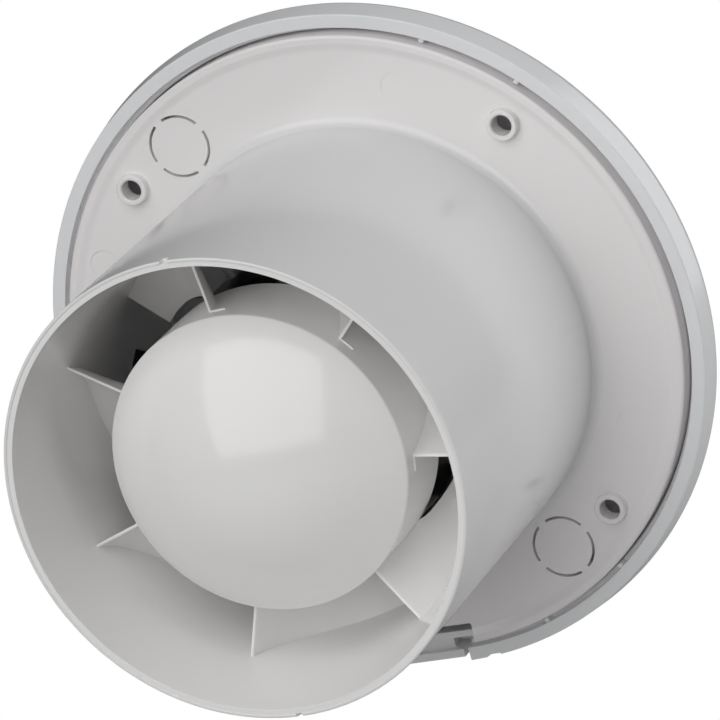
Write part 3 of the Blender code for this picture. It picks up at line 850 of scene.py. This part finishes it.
@dataclass
class Impeller(SubAssembly):
    """Axial impeller: a cup-shaped hub and five twisted blades."""

    hub_r: float = 31.4
    tip_r: float = 44.1
    back: float = 45.0
    front: float = 22.0
    wall: float = 1.6
    blades: int = 5
    first_blade: float = 81.0

    def build(self) -> bpy.types.Object:
        """Builds the impeller."""
        hub = soften((
            (self.hub_r, self.back, 0.3), (self.hub_r, self.front, 2.2),
            (7.4, self.front - 1.2, 0.6), (6.8, self.front + 1.0, 0.2),
            (2.1, self.front + 1.0, 0.2), (2.1, 37.0, 0.2), (5.6, 37.0, 0.4),
            (6.4, self.front + 2.6, 1.0), (self.hub_r - self.wall, self.front + 2.4, 2.6),
            (self.hub_r - self.wall, self.back, 0.3)))
        wheel = piece("impeller_moulding", lambda bm: lathe(bm, hub, 180))
        combine(wheel, Cut.JOIN, self.blade_set)
        return self.dress(wheel, Slot.IMPELLER, Body.ROTOR, "impeller")

    def blade_set(self, bm: bmesh.types.BMesh) -> None:
        """Blades with rounded edges, thinner towards their tips."""
        along, across, r0 = 22, 12, self.hub_r - 0.8
        for k in range(self.blades):
            rings = []
            for j in range(across + 1):
                s = j / across
                r = r0 + (self.tip_r - r0) * s
                rings.append([bm.verts.new(self.blade_point(k, s, r, u, side))
                              for u, side in self.blade_outline(along)])
            skin(bm, rings, closed=False)

    @staticmethod
    def blade_outline(along: int) -> list[Point]:
        """Section of a blade: share of its chord, and share of its thickness to one side."""
        top = [(i / along, 0.5 * min(1.0, 0.25 + 6.0 * min(i, along - i) / along))
               for i in range(along + 1)]
        return top + [(u, -t) for u, t in reversed(top)]

    def blade_point(self, k: int, s: float, r: float, u: float, side: float) -> Vector:
        """A point of a blade, in metres.

        Args:
            k: which blade.
            s: share of its span, from hub to tip.
            r: radius.
            u: share of its chord.
            side: share of its thickness.

        Returns:
            The point.
        """
        angle = self.first_blade + 360.0 * k / self.blades + (23.0 - s) * (u - 0.5)
        along = 32.2 - 0.4 * s - (7.6 + 2.0 * s) * u - 0.7 * math.sin(math.pi * u)
        return around(r, angle, along + side * (1.5 - 0.4 * s))


@dataclass
class FingerGuard(SubAssembly):
    """Guard of rings and bars in the bell mouth."""

    rear: float = -6.2
    rings: Sequence[float] = (18.0, 35.0)
    bars: int = 4
    first_bar: float = 12.0
    bar_w: float = 1.6

    def build(self) -> bpy.types.Object:
        """Builds the guard."""
        rim = soften(((54.0, self.rear, 0.25), (54.0, self.rear - 2.0, 0.6),
                      (52.0, self.rear - 2.0, 0.5), (52.0, self.rear, 0.25)))
        guard = piece("finger_guard_moulding", lambda bm: lathe(bm, rim, 160))
        for radius in self.rings:
            wire = soften(((radius + 0.8, self.rear - 0.2, 0.3),
                           (radius + 0.8, self.rear - 1.8, 0.7),
                           (radius - 0.8, self.rear - 1.8, 0.7),
                           (radius - 0.8, self.rear - 0.2, 0.3)))
            combine(guard, Cut.JOIN, lambda bm, wire=wire: lathe(bm, wire, 120))
        for k in range(self.bars):
            angle = self.first_bar + 180.0 / self.bars * k
            combine(guard, Cut.JOIN, lambda bm, angle=angle: block(
                bm, (-52.6, self.rear - 1.9, -self.bar_w / 2),
                (52.6, self.rear - 0.3, self.bar_w / 2), 0.45, angle))
        return self.dress(guard, Slot.DUCT_WHITE, Body.HOUSING, "finger_guard")


@dataclass
class Cover(SubAssembly):
    """Cover ring, front disc and the latch that lets the cover off."""

    outer_r: float = 74.2
    rear: float = -2.4
    inner_r: float = 70.5
    ledge_r: float = 69.5          # ledge inside the ring, beside the base plate's rim
    lip_r: float = 56.4
    rib_angles: Sequence[float] = (-5.3, 13.0, 115.2, 133.1, 234.4, 252.6)
    post_circle: float = 60.5
    post_angles: Sequence[float] = (0.0, 180.0, 270.0)
    disc_r: float = 66.0
    disc_rear: float = -22.4
    disc_face: float = -25.0
    disc_rise: float = 2.6

    def build(self) -> None:
        """Builds the ring, the disc and the latch."""
        self.ring()
        self.disc()
        self.latch()

    def ring(self) -> bpy.types.Object:
        """The cover ring: flat rear rim, leaning side band and a convex face to the intake."""
        r = self.outer_r
        face = bezier(((r, -7.6), (r - 0.1, -12.0), (r - 5.8, -15.3), (r - 17.2, -17.9)), 22)
        inside = bezier(((self.lip_r, -15.9), (66.0, -13.6), (68.6, -11.6),
                         (self.ledge_r, -9.3)), 14)
        inside += [(self.ledge_r, -5.6), (self.ledge_r + 0.25, -5.3), (self.inner_r, -5.2)]
        outline = (soften([(self.inner_r, self.rear, 0.25), (r - 0.75, self.rear, 0.35),
                           (*face[0], 0.0)], closed=False)[1:]
                   + face[1:] + [(self.lip_r + 0.25, -17.85), (self.lip_r, -17.6)]
                   + inside)
        outline += [(self.inner_r, self.rear - 0.25), (self.inner_r + 0.08, self.rear - 0.08),
                    (self.inner_r + 0.25, self.rear)]
        ring = piece("cover_ring_moulding", lambda bm: lathe(bm, outline))
        combine(ring, Cut.JOIN, self.ribs)
        combine(ring, Cut.JOIN, self.sockets)
        combine(ring, Cut.TAKE_AWAY, self.ring_openings)
        # A cut of its own: it runs into the pad's gap, and a cutter must not cross itself.
        combine(ring, Cut.TAKE_AWAY, lambda bm: block(
            bm, (-3.4, -9.8, -69.6), (15.4, -4.6, -65.4), 0.2))
        return self.dress(ring, Slot.COVER_WHITE, Body.COVER, "cover_ring")

    def ribs(self, bm: bmesh.types.BMesh) -> None:
        """Small ribs that centre the ring on the base plate."""
        for angle in self.rib_angles:
            block(bm, (69.5, -7.4, -0.6), (71.4, self.rear - 0.5, 0.6), 0.28, angle)

    def sockets(self, bm: bmesh.types.BMesh) -> None:
        """Sockets inside the ring for the front disc's posts."""
        for angle in self.post_angles:
            peg(bm, around(self.post_circle, angle, 0.0), (
                (0.0, -16.0, 0.0), (3.4, -16.0, 0.0), (3.4, -11.6, 0.4), (0.0, -11.6, 0.0)))

    def ring_openings(self, bm: bmesh.types.BMesh) -> None:
        """Bores of the sockets, the gap for the latch's pad and a small index notch."""
        for angle in self.post_angles:
            peg(bm, around(self.post_circle, angle, 0.0), (
                (0.0, -20.0, 0.0), (2.3, -20.0, 0.0), (2.3, -10.0, 0.0), (0.0, -10.0, 0.0)))
        block(bm, (-1.6, -9.2, -76.0), (14.1, 0.0, -68.8), 0.25)
        block(bm, (-8.7, -7.6, -76.0), (-5.2, 0.0, -72.6), 0.2)

    def disc(self) -> bpy.types.Object:
        """The plain front disc with three posts."""
        ball = (self.disc_r ** 2 + self.disc_rise ** 2) / (2.0 * self.disc_rise)
        face = [(r, self.disc_face - self.disc_rise + ball - math.sqrt(ball ** 2 - r ** 2))
                for r in [self.disc_r * 0.985 * i / 30 for i in range(30, -1, -1)]]
        edge = soften([(0.0, self.disc_rear, 0.0), (self.disc_r, self.disc_rear, 0.9),
                       (self.disc_r, self.disc_face - 0.1, 1.1), (*face[0], 0.0)], closed=False)
        outline = edge[:-1] + face
        outline[-1] = (0.0, outline[-1][1])
        disc = piece("front_disc_moulding", lambda bm: lathe(bm, outline))

        def posts(bm: bmesh.types.BMesh) -> None:
            for angle in self.post_angles:
                peg(bm, around(self.post_circle, angle, 0.0), (
                    (0.0, self.disc_rear - 1.0, 0.0), (3.6, self.disc_rear - 1.0, 0.0),
                    (3.6, -18.3, 0.4), (2.0, -18.3, 0.2), (2.0, -12.0, 0.7), (0.0, -12.0, 0.0)))

        combine(disc, Cut.JOIN, posts)
        return self.dress(disc, Slot.COVER_WHITE, Body.FRONT, "front_disc")

    def latch(self) -> bpy.types.Object:
        """The latch: a press pad in the rim, an arm and a tongue behind the base plate's rim."""
        tongue = ((-2.9, -7.8, -68.6), (14.9, -4.2, -67.0), 0.3)
        arm = ((2.0, -7.2, -71.6), (10.5, -4.4, -68.2), 0.2)
        pad = ((-0.5, -8.4, -72.5), (13.0, -2.5, -70.6), 0.3)
        latch = piece("cover_latch_moulding", lambda bm: block(bm, *tongue))
        for box in (arm, pad):
            combine(latch, Cut.JOIN, lambda bm, box=box: block(bm, *box))
        return self.dress(latch, Slot.LATCH_WHITE, Body.LATCH, "cover_latch")


@dataclass
class WiringPoint(SubAssembly):
    """Terminal block and cable clamp on the room side of the plate, with their screws."""

    top: float = -4.1
    deep: float = 7.4
    row_z: float = 60.5
    pitch: float = 7.0
    clamp_angle: float = 70.0
    clamp_radii: Sequence[float] = (56.8, 64.8)

    def build(self) -> None:
        """Builds the block, the clamp and the screws."""
        self.block()
        self.clamp()

    def block(self) -> None:
        """Three-way terminal block with its screws."""
        body = piece("terminal_block_moulding", lambda bm: block(
            bm, (-11.0, self.top - self.deep, 56.0), (11.0, self.top, 65.0), 0.6))
        for i, x in enumerate((-self.pitch, 0.0, self.pitch), 1):
            spot = Vector((x, 0.0, self.row_z)) * MM
            combine(body, Cut.TAKE_AWAY, lambda bm, spot=spot: peg(bm, spot, (
                (0.0, self.top - self.deep - 1.0, 0.0), (2.5, self.top - self.deep - 1.0, 0.0),
                (2.2, self.top - self.deep + 0.4, 0.0), (2.2, self.top - 2.6, 0.0),
                (0.0, self.top - 2.6, 0.0)), 32))
            combine(body, Cut.TAKE_AWAY, lambda bm, x=x: block(
                bm, (x - 1.5, self.top - 5.0, 63.9), (x + 1.5, self.top - 2.0, 66.0), 0.5))
            screw = piece(f"terminal_screw_head_{i}", lambda bm, spot=spot: peg(bm, spot, (
                (0.0, self.top - 6.4, 0.0), (1.9, self.top - 6.4, 0.3),
                (1.9, self.top - 2.7, 0.2), (0.0, self.top - 2.7, 0.0)), 32))
            combine(screw, Cut.TAKE_AWAY, lambda bm, x=x: block(
                bm, (x - 2.5, self.top - 7.5, 60.2), (x + 2.5, self.top - 5.6, 60.8)))
            self.dress(screw, Slot.BRASS, Body.HOUSING, f"terminal_screw_{i}")
        self.dress(body, Slot.TERMINAL, Body.HOUSING, "terminal_block")

    def clamp(self) -> None:
        """Cable clamp and its two screws."""
        turn = self.clamp_angle
        saddle = piece("cable_clamp_moulding", lambda bm: block(
            bm, (55.2, self.top - 4.6, -2.4), (66.4, self.top, 2.4), 0.5, turn))
        combine(saddle, Cut.TAKE_AWAY, lambda bm: block(
            bm, (58.3, self.top - 3.0, -4.0), (63.3, self.top + 1.0, 4.0), 0.6, turn))
        for i, radius in enumerate(self.clamp_radii, 1):
            spot = around(radius, turn, 0.0)
            combine(saddle, Cut.TAKE_AWAY, lambda bm, spot=spot: peg(bm, spot, (
                (0.0, self.top - 6.0, 0.0), (1.25, self.top - 6.0, 0.0),
                (1.25, self.top + 1.0, 0.0), (0.0, self.top + 1.0, 0.0)), 24))
            screw = piece(f"clamp_screw_head_{i}", lambda bm, spot=spot: peg(bm, spot, (
                (0.0, self.top - 6.3, 0.0), (1.6, self.top - 6.3, 0.5),
                (1.6, self.top - 4.9, 0.1), (1.0, self.top - 4.9, 0.0),
                (1.0, self.top - 0.3, 0.2), (0.0, self.top - 0.3, 0.0)), 24))
            self.dress(screw, Slot.BRASS, Body.HOUSING, f"clamp_screw_{i}")
        self.dress(saddle, Slot.HOUSING_WHITE, Body.HOUSING, "cable_clamp")


@dataclass
class Motor(SubAssembly):
    """The motor's CAD solids, which keep their shapes and get their real finishes."""

    def build(self) -> None:
        """Dresses every node that no piece stands for."""
        slots = {row["node"]: row["material_slot"] for row in frame["record"]["subparts"]}
        for name, node in frame["nodes"].items():
            if node.hide_render:
                continue
            node.data.materials.clear()
            node.data.materials.append(self.palette[Slot(slots[name])])
            LOG.info("%s: CAD solid with its finish", name)


# ---- studio ------------------------------------------------------------------------------------
@dataclass(frozen=True)
class SoftBox:
    """A soft area light that faces the fan."""

    name: str
    azimuth: float             # degrees, as seen from the fan; 0 is in front of its cover
    elevation: float
    distance: float            # metres
    width: float
    height: float
    watts: float
    colour: str = "ffffff"

    def place(self) -> bpy.types.Object:
        """Puts the light in the scene."""
        data = bpy.data.lights.new(self.name, "AREA")
        data.shape = "RECTANGLE"
        data.size, data.size_y = self.width, self.height
        data.energy = self.watts
        data.color = linear(self.colour)[:3]
        light = bpy.data.objects.new(self.name, data)
        bpy.context.scene.collection.objects.link(light)
        away = direction(self.azimuth, self.elevation)
        light.location = away * self.distance
        light.rotation_euler = (-away).to_track_quat("-Z", "Y").to_euler()
        return light


def direction(azimuth: float, elevation: float) -> Vector:
    """The unit vector from the fan towards an azimuth and elevation in degrees."""
    a, e = math.radians(azimuth), math.radians(elevation)
    return Vector((math.sin(a) * math.cos(e), -math.cos(a) * math.cos(e), math.sin(e)))


@dataclass
class Studio:
    """Pale floor, white surround, soft boxes and the camera."""

    azimuth: float = 205.4
    elevation: float = 15.68
    roll: float = -16.34
    distance: float = 1.2252
    lens: float = 289.8
    target: Point3 = (0.0020, 0.0014, -0.0015)
    floor_z: float = -0.42
    surround: float = 0.03
    bounces: int = 16
    boxes: Sequence[SoftBox] = (
        SoftBox("key_softbox", 180.0, 32.0, 1.6, 2.0, 2.0, 22.0),
        SoftBox("side_softbox", 300.0, 9.0, 1.4, 1.3, 1.3, 10.5),
        SoftBox("top_softbox", 200.0, 85.0, 1.4, 1.3, 1.3, 2.6),
    )

    def build(self) -> None:
        """Builds the studio."""
        self.floor()
        self.world()
        for box in self.boxes:
            box.place()
        self.camera()

    def floor(self) -> None:
        """A large pale floor under the fan, bright enough to read as a white sweep."""
        floor = piece("studio_floor", lambda bm: bmesh.ops.create_grid(
            bm, x_segments=1, y_segments=1, size=9.0))
        floor.location.z = self.floor_z
        mat, tree, shader, _ = blank("white_paper_sweep")
        shader.inputs["Base Color"].default_value = linear("c8c8c8")
        shader.inputs["Roughness"].default_value = 0.9
        seen = add_node(tree, "ShaderNodeLightPath", {}, {})
        glow = add_node(tree, "ShaderNodeEmission", {"Strength": 1.0}, {})
        both = add_node(tree, "ShaderNodeMixShader", {},
                        {"Fac": seen.outputs["Is Camera Ray"], "1": shader.outputs["BSDF"],
                         "2": glow.outputs["Emission"]})
        tree.links.new(both.outputs["Shader"],
                       tree.nodes["Material Output"].inputs["Surface"])
        floor.data.materials.append(mat)

    def world(self) -> None:
        """A white surround: full white where it is seen, dimmer where it lights the fan."""
        world = bpy.data.worlds.new("white_surround")
        bpy.context.scene.world = world
        world.use_nodes = True
        tree = world.node_tree
        ground = tree.nodes["Background"]
        seen = add_node(tree, "ShaderNodeLightPath", {}, {})
        level = add_node(tree, "ShaderNodeMapRange", {"To Min": self.surround, "To Max": 1.0},
                         {"Value": seen.outputs["Is Camera Ray"]})
        tree.links.new(level.outputs["Result"], ground.inputs["Strength"])
        ground.inputs["Color"].default_value = linear("ffffff")

    def camera(self) -> None:
        """The camera: a long lens, rolled so that the fan leans over."""
        data = bpy.data.cameras.new("camera")
        data.sensor_width = 36.0
        data.lens = self.lens
        data.clip_start, data.clip_end = 0.05, 30.0
        camera = bpy.data.objects.new("camera", data)
        bpy.context.scene.collection.objects.link(camera)
        away = direction(self.azimuth, self.elevation)
        camera.location = Vector(self.target) + away * self.distance
        look = (-away).to_track_quat("-Z", "Y").to_matrix().to_4x4()
        camera.rotation_euler = (look @ Matrix.Rotation(math.radians(self.roll), 4, "Z")
                                 ).to_euler()
        bpy.context.scene.camera = camera
        bpy.context.scene.view_settings.view_transform = "Standard"
        # Light goes many times round the inside of a white duct before it fades.
        for kind in ("max_bounces", "diffuse_bounces", "glossy_bounces"):
            setattr(bpy.context.scene.cycles, kind, self.bounces)


def main() -> None:
    """Builds every sub-assembly, then the studio."""
    logging.basicConfig(level=logging.INFO, format="%(message)s")
    palette = Palette()
    for part in (BasePlate, GuideVaneDuct, HubDome, Impeller, FingerGuard, Cover, WiringPoint,
                 Motor):
        part(palette).build()
        LOG.info("%s done", part.__name__)
    Studio().build()


if __name__ == "__main__":
    main()
